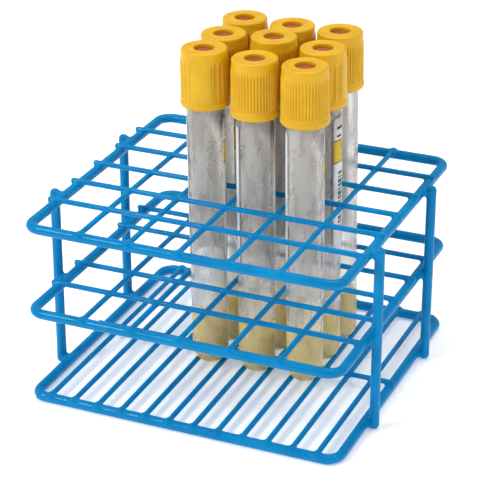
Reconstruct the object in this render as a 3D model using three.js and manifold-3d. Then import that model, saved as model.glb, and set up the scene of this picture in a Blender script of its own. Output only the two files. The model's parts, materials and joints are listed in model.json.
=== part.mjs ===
// Nine capped blood-collection test tubes standing in a coated-wire bench rack.
//
// The frame: millimetres, +Z up, X along the long front edge of the rack, Y from its front to its
// back. The origin is on the bench, under the middle of the rack.
import * as THREE from "three";
import { mergeVertices } from "three/addons/utils/BufferGeometryUtils.js";
import Module from "manifold-3d";

// ---- Driving dimensions: the rack, which is made to take the tubes ----
const TUBE_DIAMETER = 13;
const RIM_WIRE = 3.45; // heavy wire of the rims and legs, over the coating
const GRID_WIRE = 1.9; // light wire of the shelves and the base
const RIM_CORNER = 5; // bend radius of a rim's corner, at its centre line
const MIDDLE_HEIGHT = 34.2; // centre line of the middle rim
const TOP_HEIGHT = 66.3; // centre line of the top rim
const CELLS = 6; // cells along each side
const PLAY_X = 3.2; // how much wider than a tube the clear opening of a cell is, along X
const PLAY_Y = 2.4; // and along Y
const EDGE_X = 4.6; // how much longer a rim is, between its centre lines, than its cells along X
const EDGE_Y = 5.2; // and along Y
const ACROSS_OVERHANG = 2.1; // how far a light wire ends past the side rims' centre lines
const ALONG_OVERHANG = 1.7; // and past the front and back rims'
const WELD_SINK = 0.95; // how deep crossing light wires are welded into each other
const RIM_SINK = 0.55; // how deep a cross wire's ends are welded into the rim
const CRADLE_HALF = 4.5; // from a column's middle to each of the two wires its tubes stand on
const BRACE_Y = -1; // the one cross wire of the base
const LEG_Y = 27; // the legs' distance in front of and behind the middle
const LEG_FOOT = 0.2; // the legs end just above the bench, which only the base rim touches
const LEG_PROUD = 0.8; // and just above the top rim

// ---- Driving dimensions: one tube ----
const TUBE_WALL = 1;
const TUBE_LENGTH = 106;
const GEL_HEIGHT = 19; // the gel plug, from the tube's lowest point to the middle of its top
const GEL_SLOPE = 14; // degrees that its top leans, as it set with the tube lying
const LABEL_PAPER = 0.15;
const LABEL_BOTTOM = 42; // above the tube's lowest point
const LABEL_TOP = 3; // below the closure
const LABEL_FACES = 10; // sides of the tube that the label covers, of SIDES

// ---- Driving dimensions: one closure ----
const BAND_WALL = 1.7; // wall of the plain band at the bottom, its widest
const BARREL_WALL = 1.5; // of the ribbed barrel above the band
const RING_WALL = 1.15; // and of the smooth ring above the barrel
const CAP_HEIGHT = 20.4;
const CAP_GRIP = 8; // how far the closure reaches down over the tube
const CAP_HOLE = 7.2; // the needle hole in its top
const CAP_TOP_WALL = 1.7;
const CAP_BAND = 3; // height of the plain band
const CAP_RING_HEIGHT = 3.2;
const STOPPER_PLUG = 7.5; // how far the rubber plug reaches into the tube
const STOPPER_CUP = 5.5; // diameter of the hollow under the plug
const STOPPER_CUP_DEPTH = 4;

// ---- Driving dimensions: clearances ----
const WELD_GAP = 0.05; // between a light wire and the rim it is sunk into, or a leg and its rim
const SEAT_GAP = 0.1; // between a tube and the wires it stands on
const SKIN_GAP = 0.1; // around the gel plug, the rubber plug and under the label
const CAP_GAP = 0.3; // between the closure and what it covers

// ---- Fineness ----
const SIDES = 16; // around a tube and its pieces
const WIRE_SIDES = 8;

// ---- Sizes that several pieces share ----
const CELL_X = TUBE_DIAMETER + GRID_WIRE + PLAY_X; // from one cell to the next
const CELL_Y = TUBE_DIAMETER + GRID_WIRE + PLAY_Y;
const RACK_WIDTH = CELLS * CELL_X + EDGE_X; // between the centre lines of a rim's sides
const RACK_DEPTH = CELLS * CELL_Y + EDGE_Y; // and of its front and back

const wasm = await Module();
wasm.setup();

// ---- Materials ----
const rackBlue = new THREE.MeshStandardMaterial({ color: 0x0a86cc, roughness: 0.35, metalness: 0 });
const clearTube = new THREE.MeshStandardMaterial({
  color: 0xe6eaea,
  roughness: 0.1,
  metalness: 0,
  transparent: true,
  opacity: 0.35,
});
const labelPaper = new THREE.MeshStandardMaterial({ color: 0xe9e9e6, roughness: 0.6, metalness: 0 });
const separatorGel = new THREE.MeshStandardMaterial({ color: 0xbcaa72, roughness: 0.4, metalness: 0 });
const capYellow = new THREE.MeshStandardMaterial({ color: 0xe6b325, roughness: 0.4, metalness: 0 });
const redRubber = new THREE.MeshStandardMaterial({ color: 0xb0503f, roughness: 0.7, metalness: 0 });

// ---- Solids ----

// A three.js geometry as a manifold-3d solid, with the vertices that its faces share merged.
function solid(geometry) {
  const bare = geometry.clone();
  bare.deleteAttribute("normal");
  bare.deleteAttribute("uv");
  const merged = mergeVertices(bare, 1e-4);
  const vertProperties = new Float32Array(merged.attributes.position.array);
  const triVerts = new Uint32Array(merged.index.array);
  return new wasm.Manifold(new wasm.Mesh({ numProp: 3, vertProperties, triVerts }));
}

// And back again.
function geometryOf(body) {
  const { vertProperties, triVerts } = body.getMesh();
  const geometry = new THREE.BufferGeometry();
  geometry.setAttribute("position", new THREE.BufferAttribute(vertProperties, 3));
  geometry.setIndex(new THREE.BufferAttribute(triVerts, 1));
  return geometry;
}

function piece(name, geometry, material) {
  const mesh = new THREE.Mesh(geometry, material);
  mesh.name = name;
  return mesh;
}

// A straight wire along X, Y or Z. Its flats face the axes, so the flat-to-flat size is the wire's.
function wire(diameter, length, along, centre) {
  const corner = diameter / 2 / Math.cos(Math.PI / WIRE_SIDES);
  const turn = Math.PI / WIRE_SIDES;
  const bar = new THREE.CylinderGeometry(corner, corner, length, WIRE_SIDES, 1, false, turn);
  if (along === "x") bar.rotateZ(Math.PI / 2);
  if (along === "z") bar.rotateX(Math.PI / 2);
  return bar.translate(...centre);
}

// A profile of [radius, height] points turned round the Z axis.
function turned(profile, sides = SIDES) {
  const points = profile.map(([radius, height]) => new THREE.Vector2(radius, height));
  return new THREE.LatheGeometry(points, sides).rotateX(Math.PI / 2);
}

// Points of a quarter round bottom, from the axis out to its full radius.
function roundBottom(radius, centreHeight, steps) {
  return Array.from({ length: steps + 1 }, (_, step) => {
    const angle = (step / steps) * (Math.PI / 2);
    return [step ? radius * Math.sin(angle) : 0, centreHeight - radius * Math.cos(angle)];
  });
}

// ---- The rack's rims: heavy wire bent into a rounded rectangle ----
const rimHalf = RIM_WIRE / 2;
const baseHeight = rimHalf; // the base rim lies on the bench

function roundedRectangle(shape, halfWidth, halfDepth, corner) {
  const right = halfWidth - corner;
  const back = halfDepth - corner;
  const quarter = Math.PI / 2;
  shape.absarc(right, back, corner, 0, quarter);
  shape.absarc(-right, back, corner, quarter, 2 * quarter);
  shape.absarc(-right, -back, corner, 2 * quarter, 3 * quarter);
  shape.absarc(right, -back, corner, 3 * quarter, 4 * quarter);
  return shape;
}

// The eight-sided section of the wire is the extrusion's flat edge and its two bevels.
function rim(height, half = rimHalf) {
  const flat = half * Math.tan(Math.PI / WIRE_SIDES);
  const halfWidth = RACK_WIDTH / 2;
  const halfDepth = RACK_DEPTH / 2;
  const ring = roundedRectangle(new THREE.Shape(), halfWidth + flat, halfDepth + flat, RIM_CORNER + flat);
  ring.holes.push(
    roundedRectangle(new THREE.Path(), halfWidth - flat, halfDepth - flat, RIM_CORNER - flat),
  );
  const bevel = half - flat;
  const geometry = new THREE.ExtrudeGeometry(ring, {
    depth: 2 * flat,
    bevelEnabled: true,
    bevelThickness: bevel,
    bevelSize: bevel,
    bevelSegments: 1,
    curveSegments: 3,
  });
  return geometry.translate(0, 0, height - flat);
}

// ---- The rack's light wires ----
const gridHalf = GRID_WIRE / 2;
const crossing = GRID_WIRE - WELD_SINK; // from a light wire up to the one welded across it
const upperOverRim = rimHalf + gridHalf - RIM_SINK; // from a rim's centre line up to a cross wire
const lowerOverRim = upperOverRim - crossing; // and up to a wire that runs from front to back
const acrossLength = RACK_WIDTH + 2 * ACROSS_OVERHANG;
const alongLength = RACK_DEPTH + 2 * ALONG_OVERHANG;

// The wires are welded together into one grid, and notched where they are sunk into the rim.
function weldedOnto(rimHeight, wires) {
  const grid = wires.map(solid).reduce((body, next) => body.add(next));
  return geometryOf(grid.subtract(solid(rim(rimHeight, rimHalf + WELD_GAP))));
}

// One shelf: five wires from front to back, and five across on top of them.
function shelfGrid(rimHeight) {
  const wires = [];
  for (let line = 1; line < CELLS; line++) {
    const x = (line - CELLS / 2) * CELL_X;
    const y = (line - CELLS / 2) * CELL_Y;
    wires.push(wire(GRID_WIRE, alongLength, "y", [x, 0, rimHeight + lowerOverRim]));
    wires.push(wire(GRID_WIRE, acrossLength, "x", [0, y, rimHeight + upperOverRim]));
  }
  return weldedOnto(rimHeight, wires);
}

// The base: a pair of wires under each column of cells, tied by one brace across all of them.
const cradleHeight = baseHeight + lowerOverRim;

function baseGrid() {
  const wires = [wire(GRID_WIRE, acrossLength, "x", [0, BRACE_Y, baseHeight + upperOverRim])];
  for (let column = 0; column < CELLS; column++) {
    const x = (column + 0.5 - CELLS / 2) * CELL_X;
    for (const side of [-1, 1]) {
      wires.push(wire(GRID_WIRE, alongLength, "y", [x + side * CRADLE_HALF, 0, cradleHeight]));
    }
  }
  return weldedOnto(baseHeight, wires);
}

// ---- The legs: heavy wire with rounded ends, welded outside the rims ----
const legTop = TOP_HEIGHT + rimHalf + LEG_PROUD;
const legX = RACK_WIDTH / 2 + RIM_WIRE + WELD_GAP;

function leg(x, y) {
  const corner = rimHalf / Math.cos(Math.PI / WIRE_SIDES);
  const foot = roundBottom(corner, LEG_FOOT + corner, 2);
  const head = foot.map(([radius, height]) => [radius, LEG_FOOT + legTop - height]).reverse();
  const bar = turned([...foot, ...head], WIRE_SIDES);
  return bar.rotateZ(Math.PI / WIRE_SIDES).translate(x, y, 0);
}

// ---- One tube, from its lowest point up, with what is in and on it ----
const outer = TUBE_DIAMETER / 2;
const bore = outer - TUBE_WALL;
const capBottom = TUBE_LENGTH - CAP_GRIP;

function glassTube() {
  const outside = roundBottom(outer, outer, 4);
  const inside = roundBottom(bore, outer, 3).reverse();
  return turned([...outside, [outer, TUBE_LENGTH], [bore, TUBE_LENGTH], ...inside]);
}

// The gel fills the round bottom, and its top leans.
function gelPlug() {
  const radius = bore - SKIN_GAP;
  const tall = 2 * GEL_HEIGHT;
  const plug = solid(turned([...roundBottom(radius, outer, 3), [radius, tall], [0, tall]]));
  const cutter = new THREE.BoxGeometry(4 * outer, 4 * outer, tall);
  cutter.translate(0, 0, tall / 2).rotateY(THREE.MathUtils.degToRad(GEL_SLOPE));
  return geometryOf(plug.subtract(solid(cutter.translate(0, 0, GEL_HEIGHT))));
}

// The label is a paper sleeve, open along one side so that the contents can be seen.
function label() {
  const inner = outer + SKIN_GAP;
  const step = (2 * Math.PI) / SIDES;
  const corner = (radius, index) => {
    const angle = (index - LABEL_FACES / 2) * step;
    return new THREE.Vector2(radius * Math.cos(angle), radius * Math.sin(angle));
  };
  const places = Array.from({ length: LABEL_FACES + 1 }, (_, index) => index);
  const outside = places.map((index) => corner(inner + LABEL_PAPER, index));
  const inside = places.map((index) => corner(inner, index)).reverse();
  const sleeve = new THREE.ExtrudeGeometry(new THREE.Shape([...outside, ...inside]), {
    depth: capBottom - LABEL_TOP - LABEL_BOTTOM,
    bevelEnabled: false,
  });
  return sleeve.translate(0, 0, LABEL_BOTTOM);
}

// ---- One closure: a moulded shield over a rubber stopper ----
const capTop = capBottom + CAP_HEIGHT;
const capCeiling = capTop - CAP_TOP_WALL;
const capBore = outer + CAP_GAP;

function capShield() {
  const band = capBore + BAND_WALL;
  const barrel = capBore + BARREL_WALL;
  const ring = capBore + RING_WALL;
  const hole = CAP_HOLE / 2;
  const shoulder = capTop - CAP_RING_HEIGHT;
  const round = 0.9; // the rounding of the ring's top edge and of the band's foot
  return turned([
    [capBore, capBottom],
    [band - round, capBottom],
    [band, capBottom + round],
    [band, capBottom + CAP_BAND - round / 2],
    [barrel, capBottom + CAP_BAND],
    [barrel, shoulder - round],
    [ring, shoulder],
    [ring, capTop - round],
    [ring - round, capTop],
    [hole, capTop],
    [hole, capCeiling],
    [capBore, capCeiling],
    [capBore, capBottom],
  ]);
}

// The head sits on the tube's mouth under the shield; the plug below it seals the bore.
function stopper() {
  const plug = bore - SKIN_GAP;
  const cup = STOPPER_CUP / 2;
  const plugBottom = TUBE_LENGTH - STOPPER_PLUG;
  return turned([
    [0, plugBottom + STOPPER_CUP_DEPTH],
    [cup, plugBottom + STOPPER_CUP_DEPTH],
    [cup, plugBottom],
    [plug, plugBottom],
    [plug, TUBE_LENGTH + SKIN_GAP],
    [outer, TUBE_LENGTH + SKIN_GAP],
    [outer, capCeiling - SKIN_GAP],
    [0, capCeiling - SKIN_GAP],
  ]);
}

// ---- Where a tube stands: its round bottom nests between the two wires of a cradle ----
const reach = outer + SEAT_GAP + gridHalf / Math.cos(Math.PI / WIRE_SIDES);
const seatHeight = cradleHeight + Math.sqrt(reach ** 2 - CRADLE_HALF ** 2) - outer;

// Each tube stands in a cell, counted from the front left corner, turned as it was put in, and leans
// to the left in the cell's play. The label's clear side faces opposite the turn. The shield can
// stand at any turn on its tube, and some closures aren't pushed all the way down.
const STANDING = [
  { cell: [2, 2], turn: 108, lean: 0.9, capTurn: 20, capRaise: 1 },
  { cell: [3, 2], turn: 122, lean: 0.7, capTurn: 200, capRaise: 0 },
  { cell: [4, 2], turn: 116, lean: 0.7, capTurn: 150, capRaise: 0 },
  { cell: [2, 3], turn: 70, lean: 1.1, capTurn: 95, capRaise: 0.5 },
  { cell: [3, 3], turn: 130, lean: 0.8, capTurn: 10, capRaise: 2 },
  { cell: [4, 3], turn: 76, lean: 0.9, capTurn: 250, capRaise: 0.4 },
  { cell: [2, 4], turn: 160, lean: 0.8, capTurn: 40, capRaise: 0.8 },
  { cell: [3, 4], turn: 95, lean: 0.9, capTurn: 120, capRaise: 0.5 },
  { cell: [4, 4], turn: 188, lean: 1.1, capTurn: 300, capRaise: 0.7 },
];

const cellCentre = (index, pitch) => (index + 0.5 - CELLS / 2) * pitch;

// ---- Assembly ----
const part = new THREE.Group();

for (const [level, height] of Object.entries({ base: baseHeight, middle: MIDDLE_HEIGHT, top: TOP_HEIGHT })) {
  part.add(piece(`${level}_rim`, rim(height), rackBlue));
}
part.add(piece("base_grid", baseGrid(), rackBlue));
part.add(piece("middle_grid", shelfGrid(MIDDLE_HEIGHT), rackBlue));
part.add(piece("top_grid", shelfGrid(TOP_HEIGHT), rackBlue));

for (const [along, x] of Object.entries({ left: -legX, right: legX })) {
  part.add(piece(`leg_front_${along}`, leg(x, -LEG_Y), rackBlue));
  part.add(piece(`leg_back_${along}`, leg(x, LEG_Y), rackBlue));
}

STANDING.forEach(({ cell: [column, row], turn, lean, capTurn, capRaise }, index) => {
  const number = index + 1;
  const standing = new THREE.Group(); // leans about the middle of the round bottom
  standing.position.set(cellCentre(column, CELL_X), cellCentre(row, CELL_Y), seatHeight + outer);
  standing.rotation.y = -THREE.MathUtils.degToRad(lean);
  const tube = new THREE.Group();
  tube.position.z = -outer;
  tube.rotation.z = THREE.MathUtils.degToRad(turn);
  tube.add(piece(`tube_${number}`, glassTube(), clearTube));
  tube.add(piece(`gel_${number}`, gelPlug(), separatorGel));
  tube.add(piece(`label_${number}`, label(), labelPaper));

  const rubber = piece(`stopper_${number}`, stopper(), redRubber);
  const shield = piece(`cap_${number}`, capShield(), capYellow);
  rubber.position.z = capRaise;
  shield.position.z = capRaise;
  shield.rotation.z = THREE.MathUtils.degToRad(capTurn);
  tube.add(rubber, shield);
  standing.add(tube);
  part.add(standing);
});

export default part;
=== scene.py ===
import json
import math

import bmesh
import bpy
from mathutils import Matrix, Vector


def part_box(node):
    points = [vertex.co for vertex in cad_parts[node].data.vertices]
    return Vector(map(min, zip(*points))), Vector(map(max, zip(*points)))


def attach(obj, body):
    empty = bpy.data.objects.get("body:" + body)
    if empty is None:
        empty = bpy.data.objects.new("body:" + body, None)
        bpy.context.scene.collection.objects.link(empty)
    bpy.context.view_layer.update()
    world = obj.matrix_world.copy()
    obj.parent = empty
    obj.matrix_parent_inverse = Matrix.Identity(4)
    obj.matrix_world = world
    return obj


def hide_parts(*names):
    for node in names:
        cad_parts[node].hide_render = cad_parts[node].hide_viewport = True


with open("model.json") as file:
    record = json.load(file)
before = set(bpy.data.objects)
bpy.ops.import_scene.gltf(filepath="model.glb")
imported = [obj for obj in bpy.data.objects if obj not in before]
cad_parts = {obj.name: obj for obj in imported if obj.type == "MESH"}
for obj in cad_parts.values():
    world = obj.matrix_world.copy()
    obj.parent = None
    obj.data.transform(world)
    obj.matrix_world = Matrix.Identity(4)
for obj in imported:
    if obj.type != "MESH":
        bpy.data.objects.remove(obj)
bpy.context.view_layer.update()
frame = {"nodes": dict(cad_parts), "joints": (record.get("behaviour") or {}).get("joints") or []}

MM = 0.001


# ---- The three rims ----
# Each is one length of heavy steel wire, bent round four corners into a rounded rectangle. Its ends
# are butt-welded in the middle of the back side, where the coating lies over a slight swelling.
def linear(hex_colour):
    """An sRGB hex value as the linear colour that a shader takes."""
    parts = [int(hex_colour[i:i + 2], 16) / 255 for i in (1, 3, 5)]
    return [p / 12.92 if p < 0.04045 else ((p + 0.055) / 1.055) ** 2.4 for p in parts] + [1]


def add_node(tree, kind, inputs, **settings):
    """A node with its settings; each input is a value or the socket that it is linked to."""
    made = tree.nodes.new(kind)
    for name, value in settings.items():
        setattr(made, name, value)
    for name, value in inputs.items():
        if isinstance(value, bpy.types.NodeSocket):
            tree.links.new(value, made.inputs[name])
        else:
            made.inputs[name].default_value = value
    return made


def new_material(name):
    """An empty material: the material itself and its node tree."""
    material = bpy.data.materials.new(name)
    material.use_nodes = True
    material.node_tree.nodes.clear()
    return material, material.node_tree


# Blue thermoplastic powder coating, dipped hot: a thick glossy skin that has flowed smooth, with a
# faint orange-peel and slow drifts of depth in its colour and its gloss.
DRIFT = 9 * MM
PEEL = 1.2 * MM
coating, tree = new_material("thermoplastic_coating_dipped")
place = add_node(tree, "ShaderNodeTexCoord", {}).outputs["Object"]
drifts = add_node(tree, "ShaderNodeTexNoise", {"Vector": place, "Scale": 1 / DRIFT, "Detail": 2})
peel = add_node(tree, "ShaderNodeTexNoise", {"Vector": place, "Scale": 1 / PEEL, "Detail": 1})
relief = add_node(
    tree, "ShaderNodeBump", {"Height": peel.outputs[0], "Strength": 0.15, "Distance": 0.1 * MM})
depth = add_node(
    tree, "ShaderNodeMapRange", {"Value": drifts.outputs[0], "From Min": 0.3, "From Max": 0.7})
gloss = add_node(
    tree, "ShaderNodeMapRange",
    {"Value": drifts.outputs[0], "From Min": 0.3, "From Max": 0.7, "To Min": 0.24, "To Max": 0.36})
blue = add_node(
    tree, "ShaderNodeMix",
    {0: depth.outputs[0], 6: linear("#007EBA"), 7: linear("#008AC8")}, data_type="RGBA")
skin = add_node(
    tree, "ShaderNodeBsdfPrincipled",
    {"Base Color": blue.outputs[2], "Roughness": gloss.outputs[0], "Normal": relief.outputs[0],
     "IOR": 1.5, "Specular IOR Level": 0.06, "Coat Weight": 0.14, "Coat Roughness": 0.06})
add_node(tree, "ShaderNodeOutputMaterial", {"Surface": skin.outputs[0]})


def finish_piece(bm, name, finishes, body, node):
    """Makes an object of the mesh, in its place, and has it stand for a CAD node."""
    mesh = bpy.data.meshes.new(name)
    bm.to_mesh(mesh)
    bm.free()
    for finish in finishes:
        mesh.materials.append(finish)
    mesh.shade_smooth()
    piece = bpy.data.objects.new(name, mesh)
    bpy.context.scene.collection.objects.link(piece)
    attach(piece, body)
    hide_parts(node)


def draw_out(bm, ring, move):
    """Extrudes a ring of edges by a move and returns the ring at the new end."""
    made = bmesh.ops.extrude_edge_only(bm, edges=ring)["geom"]
    verts = [part for part in made if isinstance(part, bmesh.types.BMVert)]
    bmesh.ops.translate(bm, verts=verts, vec=move)
    return [part for part in made if isinstance(part, bmesh.types.BMEdge)]


X, Y, Z = Vector((1, 0, 0)), Vector((0, 1, 0)), Vector((0, 0, 1))
RIM_CORNER = 5 * MM
RIM_SIDES = 24
BEND_STEPS = 10
BUTT_HALF = 2.4 * MM
BUTT_STEPS = 4
BUTT_SWELLING = 0.05
SAME_POINT = 0.01 * MM

rim_low, rim_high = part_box("top_rim")
HEAVY = (rim_high.z - rim_low.z) / 2
RIM_X = rim_high.x - HEAVY
RIM_Y = rim_high.y - HEAVY
RIM_LEVELS = {}
for name in ("base", "middle", "top"):
    rim_low, rim_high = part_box(f"{name}_rim")
    RIM_LEVELS[name] = (rim_low.z + rim_high.z) / 2


def bend_rim(level):
    """One rim: a ring drawn out and bent round from the middle of the back side, to the left."""
    to_x, to_y = RIM_X - RIM_CORNER, RIM_Y - RIM_CORNER
    bm = bmesh.new()
    facing_x = Matrix.Translation((0, RIM_Y, level)) @ Matrix.Rotation(math.pi / 2, 4, "Y")
    bmesh.ops.create_circle(bm, segments=RIM_SIDES, radius=HEAVY, matrix=facing_x)
    ring = list(bm.edges)
    heading = -X
    for _ in range(BUTT_STEPS):
        ring = draw_out(bm, ring, heading * BUTT_HALF / BUTT_STEPS)
    ring = draw_out(bm, ring, heading * (to_x - BUTT_HALF))
    for side, end, run in ((-1, 1, 2 * to_y), (-1, -1, 2 * to_x), (1, -1, 2 * to_y), (1, 1, 0)):
        bend = bmesh.ops.spin(
            bm, geom=ring, cent=(side * to_x, end * to_y, level), axis=Z, angle=math.pi / 2,
            steps=BEND_STEPS, use_merge=False)
        ring = [part for part in bend["geom_last"] if isinstance(part, bmesh.types.BMEdge)]
        heading = Matrix.Rotation(math.pi / 2, 3, "Z") @ heading
        if run:
            ring = draw_out(bm, ring, heading * run)
    ring = draw_out(bm, ring, heading * (to_x - BUTT_HALF))
    for _ in range(BUTT_STEPS):
        ring = draw_out(bm, ring, heading * BUTT_HALF / BUTT_STEPS)
    bmesh.ops.remove_doubles(bm, verts=bm.verts, dist=SAME_POINT)
    bmesh.ops.recalc_face_normals(bm, faces=bm.faces)
    for vert in bm.verts:
        if vert.co.y > 0 and abs(vert.co.x) < BUTT_HALF:
            middle = Vector((vert.co.x, RIM_Y, level))
            fullness = (1 - (vert.co.x / BUTT_HALF) ** 2) ** 2
            vert.co = middle + (vert.co - middle) * (1 + BUTT_SWELLING * fullness)
    return bm


for name, level in RIM_LEVELS.items():
    finish_piece(
        bend_rim(level), f"{name}_rim_wire", [coating], "rack", f"{name}_rim")


# ---- The two shelves ----
# Five light wires run from front to back on top of the rim, and five more lie across them. Every
# crossing and every end is spot welded, and the dipped coating pools in the corners between them.
LIGHT_SIDES = 20
END_ROUNDING = 0.6


def add_bar(bm, start, end, radius, sides=LIGHT_SIDES):
    """A straight bar with rounded ends."""
    line = end - start
    lie = Matrix.Translation((start + end) / 2) @ line.to_track_quat("Z", "Y").to_matrix().to_4x4()
    verts = bmesh.ops.create_cone(
        bm, cap_ends=True, segments=sides, radius1=radius, radius2=radius, depth=line.length,
        matrix=lie)["verts"]
    caps = {face for vert in verts for face in vert.link_faces if len(face.verts) > 4}
    bmesh.ops.bevel(
        bm, geom=list({edge for face in caps for edge in face.edges}), offset=END_ROUNDING * radius,
        offset_type="OFFSET", segments=3, profile=0.5, affect="EDGES", material=-1)


# A weld is a hair fuller than its wires in the middle, is down to the plain wire at PLAIN_FROM of its
# reach, and sinks into the wire from there to its end.
WELD_FULLNESS = 1.02
WELD_SWELLING = 0.02
WELD_SINKING = 0.12
PLAIN_FROM = 0.6


def gap_to(point, bars, reach, pooling):
    """How far a point stands off the melted bars, and below nothing inside them. A bar is its middle,
    its direction, how far it runs before and after its middle, and its radius."""
    nearest = None
    for middle, direction, before, after, radius in bars:
        along = min(max((point - middle).dot(direction), -before), after)
        away = abs(along) / reach
        past_plain = max((away - PLAIN_FROM) / (1 - PLAIN_FROM), 0)
        fullness = WELD_FULLNESS - WELD_SWELLING * min(away / PLAIN_FROM, 1) - WELD_SINKING * past_plain ** 2
        gap = (point - middle - direction * along).length - radius * fullness
        if nearest is None:
            nearest = gap
        else:
            shared = max(pooling - abs(nearest - gap), 0)
            nearest = min(nearest, gap) - shared ** 2 / (4 * pooling)
    return nearest


PROBE = 0.02 * MM
ROUGH_FULLNESS = 1.2
MELT_PASSES = 4
FLAT = 0.05


def melt(bars, reach, pooling, grain):
    """One weld's skin: its bars joined in one closed mesh, which is then drawn onto the melt."""
    bm = bmesh.new()
    for middle, direction, before, after, radius in bars:
        start, end = middle - direction * (before + radius), middle + direction * (after + radius)
        add_bar(bm, start, end, ROUGH_FULLNESS * radius)
    rough = bpy.data.meshes.new("weld_rough")
    bm.to_mesh(rough)
    bm.free()
    blank = bpy.data.objects.new("weld_rough", rough)
    bpy.context.scene.collection.objects.link(blank)
    remesh = blank.modifiers.new("one_skin", "REMESH")
    remesh.mode = "VOXEL"
    remesh.voxel_size = grain
    graph = bpy.context.evaluated_depsgraph_get()
    weld = bpy.data.meshes.new_from_object(blank.evaluated_get(graph))
    bpy.data.objects.remove(blank)
    for vert in weld.vertices:
        for _ in range(MELT_PASSES):
            here = gap_to(vert.co, bars, reach, pooling)
            slope = Vector([gap_to(vert.co + PROBE * axis, bars, reach, pooling) - here
                            for axis in (X, Y, Z)]) / PROBE
            if slope.length_squared > FLAT:
                vert.co -= slope * (here / slope.length_squared)
    return weld


def set_weld(bm, weld, place, turned=False):
    """Adds one weld at a place, as it is or turned half round about the vertical."""
    lying = weld.copy()
    lying.transform(Matrix.Translation(place) @ Matrix.Rotation(math.pi if turned else 0, 4, "Z"))
    bm.from_mesh(lying)
    bpy.data.meshes.remove(lying)


LIGHT = 0.95 * MM
WIRES_APART = 0.95 * MM
CELLS = 6
CELL_X = 18.1 * MM
CELL_Y = 17.3 * MM
CROSSING_REACH = 2.7 * MM
CROSSING_POOL = 1.0 * MM
CROSSING_GRAIN = 0.27 * MM
END_REACH = 4.4 * MM
END_POOL = 1.1 * MM
END_GRAIN = 0.32 * MM

grid_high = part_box("top_grid")[1]
UPPER = grid_high.z - LIGHT - RIM_LEVELS["top"]
LOWER = UPPER - WIRES_APART
LONG_WIRE = grid_high.y - LIGHT
CROSS_WIRE = grid_high.x - LIGHT

crossing_weld = melt(
    [(0 * Z, Y, CROSSING_REACH, CROSSING_REACH, LIGHT),
     (WIRES_APART * Z, X, CROSSING_REACH, CROSSING_REACH, LIGHT)],
    CROSSING_REACH, CROSSING_POOL, CROSSING_GRAIN)
long_end_weld = melt(
    [(0 * Z, X, END_REACH, END_REACH, HEAVY),
     (LOWER * Z, Y, END_REACH, LONG_WIRE - RIM_Y, LIGHT)],
    END_REACH, END_POOL, END_GRAIN)
cross_end_weld = melt(
    [(0 * Z, Y, END_REACH, END_REACH, HEAVY),
     (UPPER * Z, X, END_REACH, CROSS_WIRE - RIM_X, LIGHT)],
    END_REACH, END_POOL, END_GRAIN)


def lay_long_wire(bm, x, level):
    """A light wire from front to back, welded on top of the rim at both ends."""
    start = Vector((x, -LONG_WIRE, level + LOWER))
    add_bar(bm, start, start + 2 * LONG_WIRE * Y, LIGHT)
    set_weld(bm, long_end_weld, (x, RIM_Y, level))
    set_weld(bm, long_end_weld, (x, -RIM_Y, level), turned=True)


def lay_cross_wire(bm, y, level):
    """A light wire from left to right, over the long ones, with its ends welded to the rim."""
    start = Vector((-CROSS_WIRE, y, level + UPPER))
    add_bar(bm, start, start + 2 * CROSS_WIRE * X, LIGHT)
    set_weld(bm, cross_end_weld, (RIM_X, y, level))
    set_weld(bm, cross_end_weld, (-RIM_X, y, level), turned=True)


for name in ("middle", "top"):
    level = RIM_LEVELS[name]
    bm = bmesh.new()
    for line in range(1, CELLS):
        x, y = (line - CELLS / 2) * CELL_X, (line - CELLS / 2) * CELL_Y
        lay_long_wire(bm, x, level)
        lay_cross_wire(bm, y, level)
        for across in range(1, CELLS):
            set_weld(bm, crossing_weld, (x, (across - CELLS / 2) * CELL_Y, level + LOWER))
    finish_piece(bm, f"{name}_shelf_wires", [coating], "rack", f"{name}_grid")


# ---- The base ----
# A pair of light wires under each column of cells makes a cradle that the round bottoms sit in. One
# brace lies across all twelve and is welded to each, so that they can't spread.
CRADLE_HALF = 4.5 * MM
BRACE_Y = -1 * MM

bm = bmesh.new()
level = RIM_LEVELS["base"]
lay_cross_wire(bm, BRACE_Y, level)
for column in range(CELLS):
    for half in (-CRADLE_HALF, CRADLE_HALF):
        x = (column + 0.5 - CELLS / 2) * CELL_X + half
        lay_long_wire(bm, x, level)
        set_weld(bm, crossing_weld, (x, BRACE_Y, level + LOWER))
finish_piece(bm, "base_cradle_wires", [coating], "rack", "base_grid")


# ---- The four legs ----
# Straight heavy wire with round ends. Each is welded to the outside of all three rims, and a web of
# coating fills the hollow between leg and rim.
LEG_REACH = 5.5 * MM
LEG_POOL = 1.9 * MM
LEG_GRAIN = 0.42 * MM

leg_low, leg_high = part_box("leg_front_right")
leg_x = (leg_low.x + leg_high.x) / 2
leg_bottom, leg_top = leg_low.z + HEAVY, leg_high.z - HEAVY
leg_welds = {}
for name, level in RIM_LEVELS.items():
    leg_welds[name] = melt(
        [(0 * Z, Y, END_REACH, END_REACH, HEAVY),
         ((leg_x - RIM_X) * X, Z, min(LEG_REACH, level - leg_bottom), min(LEG_REACH, leg_top - level),
          HEAVY)],
        LEG_REACH, LEG_POOL, LEG_GRAIN)
for node in ("leg_front_left", "leg_back_left", "leg_front_right", "leg_back_right"):
    low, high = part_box(node)
    middle = (low + high) / 2
    on_left = middle.x < 0
    bm = bmesh.new()
    add_bar(bm, Vector((middle.x, middle.y, leg_bottom)), Vector((middle.x, middle.y, leg_top)),
            HEAVY, RIM_SIDES)
    for name, level in RIM_LEVELS.items():
        set_weld(bm, leg_welds[name], (-RIM_X if on_left else RIM_X, middle.y, level), on_left)
    finish_piece(bm, f"{node}_wire", [coating], "rack", node)


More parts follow.
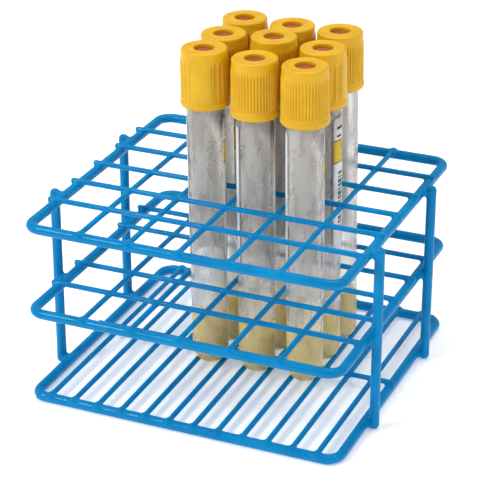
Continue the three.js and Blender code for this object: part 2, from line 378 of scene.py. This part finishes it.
# ---- The nine tubes ----
# Clear polymer, moulded with an even wall, a hemispherical bottom and a rounded lip. Above the gel the
# inside is sprayed with clotting powder, which leaves a thin uneven haze of runs and specks.
CLOSE_POINTS = 0.002 * MM


def turn_profile(bm, profile, steps):
    """Spins a profile of (radius, height) points round the vertical into a mesh with its poles closed."""
    verts = [bm.verts.new((radius, 0, height)) for radius, height in profile]
    edges = [bm.edges.new(pair) for pair in zip(verts, verts[1:])]
    bmesh.ops.spin(
        bm, geom=verts + edges, cent=(0, 0, 0), axis=Z, angle=2 * math.pi, steps=steps, use_merge=True)
    bmesh.ops.remove_doubles(bm, verts=bm.verts, dist=CLOSE_POINTS)
    bmesh.ops.recalc_face_normals(bm, faces=bm.faces)


def round_corner(centre, radius, start, end, steps):
    """Points of a profile round a corner, from one angle in degrees to another."""
    angles = [math.radians(start + (end - start) * step / steps) for step in range(steps + 1)]
    return [(centre[0] + radius * math.cos(a), centre[1] + radius * math.sin(a)) for a in angles]


# Clear moulded polymer: polished by the mould, and on the inside frosted by the powder, whose specks
# are drawn coarser than the real ones so that they show. Both let the lamps' light straight through.
SPECK = 0.5 * MM
RUN = 3 * MM
RUN_STRETCH = 0.22
wall_finishes = []
for name, smoothest, roughest, clearest, whitest in (
        ("clear_polymer_moulded", 0.02, 0.06, 1, 1), ("clear_polymer_powdered", 0.2, 0.4, 0.84, 0.54)):
    finish, tree = new_material(name)
    place = add_node(tree, "ShaderNodeTexCoord", {}).outputs["Object"]
    drawn = add_node(tree, "ShaderNodeMapping", {0: place, "Scale": (1, 1, RUN_STRETCH)})
    specks = add_node(tree, "ShaderNodeTexNoise", {"Vector": place, "Scale": 1 / SPECK, "Detail": 2})
    runs = add_node(tree, "ShaderNodeTexNoise", {"Vector": drawn.outputs[0], "Scale": 1 / RUN, "Detail": 3})
    powder = add_node(
        tree, "ShaderNodeMix", {0: 0.3, 2: runs.outputs[0], 3: specks.outputs[0]}, data_type="FLOAT")
    haze = add_node(
        tree, "ShaderNodeMapRange",
        {"Value": powder.outputs[0], "From Min": 0.38, "From Max": 0.62, "To Min": smoothest,
         "To Max": roughest})
    passing = add_node(
        tree, "ShaderNodeMapRange",
        {"Value": powder.outputs[0], "From Min": 0.38, "From Max": 0.66, "To Min": clearest,
         "To Max": whitest})
    clear = add_node(
        tree, "ShaderNodeBsdfPrincipled",
        {"Base Color": linear("#FFFDFA"), "Roughness": haze.outputs[0], "IOR": 1.45,
         "Transmission Weight": passing.outputs[0]})
    passed = add_node(tree, "ShaderNodeBsdfTransparent", {"Color": linear("#FCFCFC")})
    path = add_node(tree, "ShaderNodeLightPath", {})
    wall = add_node(
        tree, "ShaderNodeMixShader",
        {0: path.outputs["Is Shadow Ray"], 1: clear.outputs[0], 2: passed.outputs[0]})
    add_node(tree, "ShaderNodeOutputMaterial", {"Surface": wall.outputs[0]})
    wall_finishes.append(finish)
clear_plastic, powdered_plastic = wall_finishes

TUBE_WALL = 1 * MM
TUBE_RADIUS = 6.5 * MM
TUBE_BORE = TUBE_RADIUS - TUBE_WALL
TUBE_STEPS = 96
LIP = TUBE_WALL / 2
POWDER_FROM = 19 * MM
INNER_SKIN = 0.1 * MM
tube_low, tube_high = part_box("tube_2")
TUBE_LENGTH = tube_high.z - tube_low.z

# each tube stands on its lowest point and leans along the line that its joint lifts it on
standing = {}
for joint in frame["joints"]:
    if joint["name"].startswith("lift_"):
        number = int(joint["name"][5:])
        foot = min((vert.co for vert in frame["nodes"][f"tube_{number}"].data.vertices), key=lambda co: co.z)
        lean = Z.rotation_difference(Vector(joint["axis"])).to_matrix().to_4x4()
        standing[number] = Matrix.Translation(foot) @ lean

outside = round_corner((0, TUBE_RADIUS), TUBE_RADIUS, -90, 0, steps=16)
lip = round_corner((TUBE_RADIUS - LIP, TUBE_LENGTH - LIP), LIP, 0, 180, steps=8)
inside = [(TUBE_BORE, POWDER_FROM)] + round_corner((0, TUBE_RADIUS), TUBE_BORE, 0, -90, steps=14)
for number, stance in standing.items():
    bm = bmesh.new()
    turn_profile(bm, outside + lip + inside, TUBE_STEPS)
    for wall in bm.faces:
        middle = wall.calc_center_median()
        bare = middle.z < POWDER_FROM or middle.xy.length > TUBE_BORE + INNER_SKIN
        wall.material_index = 0 if bare else 1
    bmesh.ops.transform(bm, matrix=stance, verts=bm.verts)
    finish_piece(bm, f"tube_{number}_clear", [clear_plastic, powdered_plastic], f"tube_body_{number}",
                 f"tube_{number}")


# ---- The gel plugs ----
# Beige separator gel, cast in the bottom of each tube. It wets the wall, so that its edge creeps up
# in a meniscus, and its top leans, because the tubes lay on their sides while it set.
GEL_HEIGHT = 18.9 * MM
GEL_FILM = 0.03 * MM
MENISCUS = 1.2 * MM
MENISCUS_FALL = 5
LEAN_FROM = 9 * MM
GEL_SLOPE = math.tan(math.radians(14))

# Separator gel, cast: a soft translucent beige, glossy against the wall, with slow swirls.
SWIRL = 5 * MM
gel_finish, tree = new_material("separator_gel_cast")
place = add_node(tree, "ShaderNodeTexCoord", {}).outputs["Object"]
swirls = add_node(
    tree, "ShaderNodeTexNoise", {"Vector": place, "Scale": 1 / SWIRL, "Detail": 3, "Distortion": 0.8})
strength = add_node(
    tree, "ShaderNodeMapRange", {"Value": swirls.outputs[0], "From Min": 0.3, "From Max": 0.7})
beige = add_node(
    tree, "ShaderNodeMix",
    {0: strength.outputs[0], 6: linear("#E8D186"), 7: linear("#F2E3AC")}, data_type="RGBA")
gel = add_node(
    tree, "ShaderNodeBsdfPrincipled",
    {"Base Color": beige.outputs[2], "Roughness": 0.3, "IOR": 1.4, "Subsurface Weight": 0.3,
     "Subsurface Radius": (1, 0.7, 0.35), "Subsurface Scale": 1.5 * MM})
add_node(tree, "ShaderNodeOutputMaterial", {"Surface": gel.outputs[0]})

gel_radius = TUBE_BORE + GEL_FILM
wall_rings = (9, 11, 13, 15, 17, 19)
top_rings = (1, 0.97, 0.92, 0.85, 0.75, 0.6, 0.4, 0.2, 0)
gel_profile = round_corner((0, TUBE_RADIUS), gel_radius, -90, 0, steps=12)
gel_profile += [(gel_radius, height * MM) for height in wall_rings]
gel_profile += [(gel_radius * share, GEL_HEIGHT + MENISCUS * math.exp(-MENISCUS_FALL * (1 - share)))
                for share in top_rings]
for number, stance in standing.items():
    into_tube = stance.inverted()
    cast = [into_tube @ vert.co for vert in frame["nodes"][f"gel_{number}"].data.vertices]
    peak = max(cast, key=lambda co: co.z)
    slope = Vector((peak.x, peak.y, 0)).normalized() * GEL_SLOPE
    bm = bmesh.new()
    turn_profile(bm, gel_profile, TUBE_STEPS // 2)
    for vert in bm.verts:
        share = min(max((vert.co.z - LEAN_FROM) / (GEL_HEIGHT - LEAN_FROM), 0), 1)
        vert.co.z += vert.co.dot(slope) * share
    bmesh.ops.transform(bm, matrix=stance, verts=bm.verts)
    finish_piece(bm, f"gel_{number}_plug", [gel_finish], f"tube_body_{number}",
                 f"gel_{number}")


# ---- The labels ----
# White coated paper with its corners cut round, printed on a web press and glued round most of the
# tube. A clear strip is left between its two edges, to see the contents through.
LABEL_TURN = math.radians(222)
LABEL_LENGTH = 52.6 * MM
LABEL_PAPER = 0.12 * MM
LABEL_GLUE = 0.02 * MM
LABEL_CORNER = 1.5 * MM
LABEL_STRIPS = 56
CORNER_STEPS = 5
label_radius = TUBE_RADIUS + LABEL_GLUE
label_width = LABEL_TURN * label_radius

# Coated paper, printed: white with a slight sheen and a soft mottle of fibres. The inks are flat
# blocks, rules and code bars on the sheet's own millimetres, as (across, up, half width, half height).
FIBRE = 0.8 * MM
YELLOW_INK = "#E3BC3C"
DARK_INK = "#3A3A38"
RULE_INK = "#8C9096"
SHADE_INK = "#D5D8DB"
RULES, RULES_APART = 6, 5.6
BARS, BARS_APART = 14, 1.55
prints = [(-2, 40.2, 11.2, 3.9, YELLOW_INK), (-2, 44.3, 11.2, 0.2, DARK_INK)]
prints += [(-2, 36.1, 11.2, 0.2, DARK_INK)]
prints += [(-9.2, 48.9, 1.9, 0.5, DARK_INK), (-9.8, 45.9, 1.3, 0.4, DARK_INK)]
prints += [(6.8, 48, 3.4, 1.1, SHADE_INK)]
prints += [(-6.9, 41.3, 0.9, 1.5, DARK_INK), (-6.9, 38, 0.9, 0.8, DARK_INK)]
prints += [(8.4, 40.2, 1.2, 2.2, DARK_INK)]
prints += [(3, 5 + RULES_APART * rule, 8, 0.11, RULE_INK) for rule in range(RULES)]
prints += [(-8.9, 12 + BARS_APART * bar, 1.5, 0.26 + 0.2 * (bar * 7 % 3), DARK_INK) for bar in range(BARS)]
printed_paper, tree = new_material("coated_paper_printed")
place = add_node(tree, "ShaderNodeTexCoord", {}).outputs["Object"]
fibres = add_node(tree, "ShaderNodeTexNoise", {"Vector": place, "Scale": 1 / FIBRE, "Detail": 3})
mottle = add_node(
    tree, "ShaderNodeMapRange", {"Value": fibres.outputs[0], "From Min": 0.3, "From Max": 0.7})
paper = add_node(
    tree, "ShaderNodeMix",
    {0: mottle.outputs[0], 6: linear("#DFE1E2"), 7: linear("#ECEDED")}, data_type="RGBA")
sheet = add_node(tree, "ShaderNodeUVMap", {}, uv_map="sheet_mm")
across_up = add_node(tree, "ShaderNodeSeparateXYZ", {0: sheet.outputs[0]})
colour = paper.outputs[2]
for across, up, half_width, half_height, ink in prints:
    in_width = add_node(
        tree, "ShaderNodeMath", {0: across_up.outputs[0], 1: across, 2: half_width}, operation="COMPARE")
    in_height = add_node(
        tree, "ShaderNodeMath", {0: across_up.outputs[1], 1: up, 2: half_height}, operation="COMPARE")
    inked = add_node(
        tree, "ShaderNodeMath", {0: in_width.outputs[0], 1: in_height.outputs[0]}, operation="MULTIPLY")
    layer = add_node(
        tree, "ShaderNodeMix", {0: inked.outputs[0], 6: colour, 7: linear(ink)}, data_type="RGBA")
    colour = layer.outputs[2]
ripple = add_node(
    tree, "ShaderNodeBump", {"Height": fibres.outputs[0], "Strength": 0.1, "Distance": 0.05 * MM})
face = add_node(
    tree, "ShaderNodeBsdfPrincipled",
    {"Base Color": colour, "Roughness": 0.45, "IOR": 1.45, "Normal": ripple.outputs[0]})
add_node(tree, "ShaderNodeOutputMaterial", {"Surface": face.outputs[0]})

# The glued side of the same paper: greyer, with streaks up and down where the glue was rolled on.
STREAK = 2.5 * MM
STREAK_STRETCH = 0.12
glued_paper, tree = new_material("coated_paper_glued_side")
place = add_node(tree, "ShaderNodeTexCoord", {}).outputs["Object"]
drawn = add_node(tree, "ShaderNodeMapping", {0: place, "Scale": (1, 1, STREAK_STRETCH)})
streaks = add_node(
    tree, "ShaderNodeTexNoise", {"Vector": drawn.outputs[0], "Scale": 1 / STREAK, "Detail": 3})
rolled = add_node(
    tree, "ShaderNodeMapRange", {"Value": streaks.outputs[0], "From Min": 0.3, "From Max": 0.7})
grey = add_node(
    tree, "ShaderNodeMix",
    {0: rolled.outputs[0], 6: linear("#E2E0DC"), 7: linear("#F3F1EE")}, data_type="RGBA")
back = add_node(
    tree, "ShaderNodeBsdfPrincipled", {"Base Color": grey.outputs[2], "Roughness": 0.6, "IOR": 1.45})
add_node(tree, "ShaderNodeOutputMaterial", {"Surface": back.outputs[0]})

for number, stance in standing.items():
    into_tube = stance.inverted()
    pasted = [into_tube @ vert.co for vert in frame["nodes"][f"label_{number}"].data.vertices]
    facing = sum(pasted, Vector()) / len(pasted)
    centre_turn = math.atan2(facing.y, facing.x)
    bottom = (min(co.z for co in pasted) + max(co.z for co in pasted) - LABEL_LENGTH) / 2
    bm = bmesh.new()
    upright = Matrix.Translation((0, 0, LABEL_LENGTH / 2)) @ Matrix.Rotation(math.pi / 2, 4, "X")
    size = Matrix.Diagonal((label_width, LABEL_LENGTH, 1, 1))
    bmesh.ops.create_grid(bm, x_segments=1, y_segments=1, size=0.5, matrix=upright @ size)
    bmesh.ops.bevel(
        bm, geom=list(bm.verts), offset=LABEL_CORNER, offset_type="OFFSET", segments=CORNER_STEPS,
        profile=0.5, affect="VERTICES", material=-1)
    for strip in range(1, LABEL_STRIPS):
        cut = ((strip / LABEL_STRIPS - 0.5) * label_width, 0, 0)
        everything = list(bm.verts) + list(bm.edges) + list(bm.faces)
        bmesh.ops.bisect_plane(bm, geom=everything, plane_co=cut, plane_no=X)
    bm.normal_update()
    bmesh.ops.solidify(bm, geom=list(bm.faces), thickness=LABEL_PAPER)
    flat = bm.loops.layers.uv.new("sheet_mm")
    for strip in bm.faces:
        strip.material_index = 1 if abs(strip.calc_center_median().y) < LABEL_PAPER / 4 else 0
        for loop in strip.loops:
            loop[flat].uv = (loop.vert.co.x / MM, loop.vert.co.z / MM)
    for vert in bm.verts:
        turn = centre_turn + vert.co.x / label_radius
        radius = label_radius + abs(vert.co.y)
        vert.co.x, vert.co.y = radius * math.cos(turn), radius * math.sin(turn)
    bmesh.ops.recalc_face_normals(bm, faces=bm.faces)
    bmesh.ops.translate(bm, verts=bm.verts, vec=(0, 0, bottom))
    bmesh.ops.transform(bm, matrix=stance, verts=bm.verts)
    finish_piece(bm, f"label_{number}_paper", [printed_paper, glued_paper], f"tube_body_{number}",
                 f"label_{number}")


# ---- The shields ----
# Yellow polypropylene, injection moulded as a cup with a hole in its top. Fine ribs round its barrel
# give a grip and end at a smooth ring above and a smooth band below. One panel is left plain, with
# three broader ridges on each side of it. Angles are in degrees from the middle of the panel.
CAP_STEPS = 368
RIBS = 46
RIB_DEPTH = 0.5 * MM
RIB_FOOT = 3.1 * MM
RIB_HEAD = 17.2 * MM
RIB_FADE = 1.5 * MM
RIB_FOOT_FADE = 0.5 * MM
PANEL_HALF = 27
PANEL_RIDGES = (31, 46, 61)
PANEL_RIDGE_HALF = 4.2
FINE_FROM = 67
PANEL_TURNS = {1: -76, 2: 120, 3: 75, 4: 150, 5: 95, 6: 10, 7: 160, 8: 40, 9: 120}
BAND_LOW, BAND_HIGH = 1 * MM, 2.3 * MM

# Polypropylene, moulded: waxy and half glossy, a little translucent, with a fine moulded grain and
# slow drifts in its colour from the flow of the melt.
FLOW = 7 * MM
GRAIN = 0.45 * MM
cap_plastic, tree = new_material("polypropylene_moulded")
place = add_node(tree, "ShaderNodeTexCoord", {}).outputs["Object"]
flow = add_node(tree, "ShaderNodeTexNoise", {"Vector": place, "Scale": 1 / FLOW, "Detail": 2})
grain = add_node(tree, "ShaderNodeTexNoise", {"Vector": place, "Scale": 1 / GRAIN, "Detail": 2})
melt_depth = add_node(
    tree, "ShaderNodeMapRange", {"Value": flow.outputs[0], "From Min": 0.3, "From Max": 0.7})
sheen = add_node(
    tree, "ShaderNodeMapRange",
    {"Value": flow.outputs[0], "From Min": 0.3, "From Max": 0.7, "To Min": 0.34, "To Max": 0.42})
yellow = add_node(
    tree, "ShaderNodeMix",
    {0: melt_depth.outputs[0], 6: linear("#E1AC0A"), 7: linear("#EBBA1C")}, data_type="RGBA")
texture = add_node(
    tree, "ShaderNodeBump", {"Height": grain.outputs[0], "Strength": 0.08, "Distance": 0.04 * MM})
plastic = add_node(
    tree, "ShaderNodeBsdfPrincipled",
    {"Base Color": yellow.outputs[2], "Roughness": sheen.outputs[0], "Normal": texture.outputs[0],
     "IOR": 1.49, "Subsurface Weight": 0.08, "Subsurface Radius": (1, 0.5, 0.1),
     "Subsurface Scale": 0.4 * MM, "Specular IOR Level": 0.35})
add_node(tree, "ShaderNodeOutputMaterial", {"Surface": plastic.outputs[0]})

CAP_BORE = 6.8 * MM
CAP_BAND = 8.5 * MM
CAP_BARREL = 8.28 * MM
CAP_RING = 7.93 * MM
CAP_HOLE = 3.6 * MM
CAP_HEIGHT = 20.4 * MM
CAP_CEILING = 18.7 * MM
SMOOTH_INSIDE = 0.8 * MM
TOP_DISH = 0.18 * MM
TOP_ROUNDING = 0.7 * MM
HOLE_ROUNDING = 0.2 * MM
CEILING_CORNER = 0.5 * MM
BARREL_TAPER = 0.004
BARREL_RINGS = (3.2, 3.8, 6, 9, 12, 14, 14.8, 15.6, 16.4)

# The profile goes from the mouth up the outside, in over the top, down the hole and back down the bore.
mouth = [(CAP_BORE, 0.5 * MM), (CAP_BORE + 0.35 * MM, 0.1 * MM)]
band = round_corner((CAP_BAND - BAND_LOW, BAND_LOW), BAND_LOW, -90, 0, steps=6)
band += [(CAP_BAND, BAND_HIGH - 0.2 * MM), (CAP_BAND - 0.08 * MM, BAND_HIGH)]
barrel = [(CAP_BARREL - 0.15 * MM, BAND_HIGH + rise * MM) for rise in (0.35, 0.6)]
barrel += [(CAP_BARREL - height * BARREL_TAPER * MM, height * MM) for height in BARREL_RINGS]
ring = [(CAP_BARREL - 0.14 * MM, 16.9 * MM), (CAP_RING + 0.1 * MM, 17.4 * MM)]
ring += [(CAP_RING + 0.02 * MM, 17.9 * MM), (CAP_RING, 18.5 * MM)]
top = round_corner((CAP_RING - TOP_ROUNDING, CAP_HEIGHT - TOP_ROUNDING), TOP_ROUNDING, 0, 90, steps=6)
top += [(CAP_RING - 1.1 * MM, CAP_HEIGHT), (CAP_RING - 1.4 * MM, CAP_HEIGHT - TOP_DISH)]
top += [(CAP_HOLE + 1.2 * MM, CAP_HEIGHT - TOP_DISH), (CAP_HOLE + 0.8 * MM, CAP_HEIGHT)]
hole = round_corner((CAP_HOLE + HOLE_ROUNDING, CAP_HEIGHT - HOLE_ROUNDING), HOLE_ROUNDING, 90, 180, steps=3)
hole += [(CAP_HOLE, CAP_CEILING + HOLE_ROUNDING), (CAP_HOLE + HOLE_ROUNDING, CAP_CEILING)]
bore = [(CAP_BORE - CEILING_CORNER, CAP_CEILING), (CAP_BORE, CAP_CEILING - CEILING_CORNER)]
bore += [(CAP_BORE, 9 * MM), (CAP_BORE, 0.5 * MM)]
cap_profile = mouth + band + barrel + ring + top + hole + bore


def rib_height(turn):
    """How proud the grip is at an angle from the middle of the plain panel, from 0 to 1."""
    from_panel = abs((turn + 180) % 360 - 180)
    if from_panel < PANEL_HALF:
        return 1
    if from_panel < FINE_FROM:
        nearest = min(abs(from_panel - ridge) for ridge in PANEL_RIDGES)
        return max(1 - (nearest / PANEL_RIDGE_HALF) ** 2, 0)
    across = turn * RIBS / 360 % 1
    return 1 - (2 * across - 1) ** 2


for number, stance in standing.items():
    into_tube = stance.inverted()
    bottom = min((into_tube @ vert.co).z for vert in frame["nodes"][f"cap_{number}"].data.vertices)
    bm = bmesh.new()
    turn_profile(bm, cap_profile, CAP_STEPS)
    for vert in bm.verts:
        radius = vert.co.xy.length
        height = vert.co.z
        if radius > CAP_BORE + SMOOTH_INSIDE and RIB_FOOT < height < RIB_HEAD:
            fade = min((RIB_HEAD - height) / RIB_FADE, 1) * min((height - RIB_FOOT) / RIB_FOOT_FADE, 1)
            sunk = RIB_DEPTH * fade * (1 - rib_height(math.degrees(math.atan2(vert.co.y, vert.co.x))))
            vert.co.xy *= 1 - sunk / radius
    panel = Matrix.Rotation(math.radians(PANEL_TURNS[number]), 4, "Z")
    lie = stance @ Matrix.Translation((0, 0, bottom)) @ panel
    bmesh.ops.transform(bm, matrix=lie, verts=bm.verts)
    finish_piece(bm, f"cap_{number}_shield", [cap_plastic], f"closure_{number}",
                 f"cap_{number}")


# ---- The stoppers ----
# Red-brown rubber, moulded with a plug that seals the tube and a head that the shield holds. The top
# of the head is what a needle goes through, and it shows in the shield's hole.
PLUG_RADIUS = 5.4 * MM
PLUG_LENGTH = 7.5 * MM
HEAD_RADIUS = 6.4 * MM
CUP_RADIUS = 2.75 * MM
CUP_DEPTH = 4 * MM

# Butyl rubber, moulded: matt, with a fine bloom that pales it in patches.
BLOOM = 1.6 * MM
rubber, tree = new_material("butyl_rubber_moulded")
place = add_node(tree, "ShaderNodeTexCoord", {}).outputs["Object"]
bloom = add_node(tree, "ShaderNodeTexNoise", {"Vector": place, "Scale": 1 / BLOOM, "Detail": 4})
paled = add_node(
    tree, "ShaderNodeMapRange", {"Value": bloom.outputs[0], "From Min": 0.35, "From Max": 0.7})
red = add_node(
    tree, "ShaderNodeMix",
    {0: paled.outputs[0], 6: linear("#A23E26"), 7: linear("#B95A42")}, data_type="RGBA")
pores = add_node(
    tree, "ShaderNodeBump", {"Height": bloom.outputs[0], "Strength": 0.2, "Distance": 0.1 * MM})
matt = add_node(
    tree, "ShaderNodeBsdfPrincipled",
    {"Base Color": red.outputs[2], "Roughness": 0.62, "IOR": 1.52, "Normal": pores.outputs[0]})
add_node(tree, "ShaderNodeOutputMaterial", {"Surface": matt.outputs[0]})

STOPPER_HEIGHT = 18.1 * MM
BOSS_RADIUS = 3.3 * MM
BOSS_HEIGHT = 0.55 * MM
DIMPLE = 0.35 * MM
CUP_ROUNDING = 0.8 * MM
PLUG_ROUNDING = 0.9 * MM
HEAD_FOOT_ROUNDING = 0.3 * MM
HEAD_ROUNDING = 0.6 * MM
BOSS_ROUNDING = 0.3 * MM
# The profile goes from the middle of the cup out to the plug, up the head and in over the boss.
cup = [(0, CUP_DEPTH)]
cup += round_corner((CUP_RADIUS - CUP_ROUNDING, CUP_DEPTH - CUP_ROUNDING), CUP_ROUNDING, 90, 0, steps=4)
cup += [(CUP_RADIUS, 0.5 * MM), (CUP_RADIUS + 0.4 * MM, 0)]
plug = round_corner((PLUG_RADIUS - PLUG_ROUNDING, PLUG_ROUNDING), PLUG_ROUNDING, -90, 0, steps=5)
plug += [(PLUG_RADIUS, PLUG_LENGTH), (HEAD_RADIUS - HEAD_FOOT_ROUNDING, PLUG_LENGTH)]
head = round_corner(
    (HEAD_RADIUS - HEAD_FOOT_ROUNDING, PLUG_LENGTH + HEAD_FOOT_ROUNDING),
    HEAD_FOOT_ROUNDING, -90, 0, steps=3)
head += round_corner(
    (HEAD_RADIUS - HEAD_ROUNDING, STOPPER_HEIGHT - HEAD_ROUNDING), HEAD_ROUNDING, 0, 90, steps=4)
boss_top = STOPPER_HEIGHT + BOSS_HEIGHT
boss = [(BOSS_RADIUS, STOPPER_HEIGHT)]
boss += round_corner((BOSS_RADIUS - BOSS_ROUNDING, boss_top - BOSS_ROUNDING), BOSS_ROUNDING, 0, 90, steps=3)
boss += [(2.2 * MM, boss_top - 0.1 * MM), (1.1 * MM, boss_top - DIMPLE), (0, boss_top - DIMPLE)]
stopper_profile = cup + plug + head + boss
for number, stance in standing.items():
    into_tube = stance.inverted()
    bottom = min((into_tube @ vert.co).z for vert in frame["nodes"][f"stopper_{number}"].data.vertices)
    bm = bmesh.new()
    turn_profile(bm, stopper_profile, TUBE_STEPS)
    bmesh.ops.transform(bm, matrix=stance @ Matrix.Translation((0, 0, bottom)), verts=bm.verts)
    finish_piece(bm, f"stopper_{number}_rubber", [rubber], f"closure_{number}",
                 f"stopper_{number}")


# ---- The setting ----
# A pale seamless floor under a bright even sky, with three soft lamps: the key from the front left, a
# weaker one from the right and a broad one overhead. The camera looks down on the rack's front right.
FLOOR_RADIUS = 4
floor_paper, tree = new_material("studio_paper_pale")
pale = add_node(
    tree, "ShaderNodeBsdfPrincipled",
    {"Base Color": linear("#FAFAFA"), "Roughness": 0.9, "Specular IOR Level": 0.1,
     "Emission Color": linear("#FFFFFF"), "Emission Strength": 0.3})
add_node(tree, "ShaderNodeOutputMaterial", {"Surface": pale.outputs[0]})
bm = bmesh.new()
bmesh.ops.create_circle(bm, cap_ends=True, segments=64, radius=FLOOR_RADIUS)
mesh = bpy.data.meshes.new("studio_floor")
bm.to_mesh(mesh)
bm.free()
mesh.materials.append(floor_paper)
floor = bpy.data.objects.new("studio_floor", mesh)
bpy.context.scene.collection.objects.link(floor)

SKY_STRENGTH = 0.4
sky = bpy.data.worlds.new("studio_sky")
sky.use_nodes = True
sky.node_tree.nodes.clear()
glow = add_node(
    sky.node_tree, "ShaderNodeBackground", {"Color": linear("#FFFFFF"), "Strength": SKY_STRENGTH})
add_node(sky.node_tree, "ShaderNodeOutputWorld", {"Surface": glow.outputs[0]})
bpy.context.scene.world = sky

AIM = Vector((0.00205, -0.00848, 0.052))


def hang_lamp(name, azimuth, elevation, distance, size, power):
    """A square soft lamp that faces the object, placed by its bearing and height in degrees."""
    lamp = bpy.data.lights.new(name, "AREA")
    lamp.size, lamp.energy = size, power
    turn, rise = math.radians(azimuth), math.radians(elevation)
    back = Vector((math.sin(turn) * math.cos(rise), -math.cos(turn) * math.cos(rise), math.sin(rise)))
    held = bpy.data.objects.new(name, lamp)
    facing = back.to_track_quat("Z", "Y").to_matrix().to_4x4()
    held.matrix_world = Matrix.Translation(AIM + back * distance) @ facing
    bpy.context.scene.collection.objects.link(held)


hang_lamp("key_lamp", azimuth=-42, elevation=42, distance=1.3, size=0.3, power=8)
hang_lamp("side_lamp", azimuth=85, elevation=25, distance=1.3, size=0.3, power=2.6)
hang_lamp("top_lamp", azimuth=180, elevation=75, distance=1.4, size=0.7, power=8)

CAMERA_PLACE = Vector((0.24673, -0.57801, 0.34772))
CAMERA_BACK = Vector((0.35610, -0.82964, 0.43000))
LENS_LENGTH = 147.6
SENSOR_WIDTH = 36

camera_lens = bpy.data.cameras.new("camera")
camera_lens.sensor_width = SENSOR_WIDTH
camera_lens.lens = LENS_LENGTH
camera = bpy.data.objects.new("camera", camera_lens)
facing = CAMERA_BACK.normalized().to_track_quat("Z", "Y").to_matrix().to_4x4()
camera.matrix_world = Matrix.Translation(CAMERA_PLACE) @ facing
bpy.context.scene.collection.objects.link(camera)
bpy.context.scene.camera = camera
bpy.context.scene.view_settings.view_transform = "Standard"
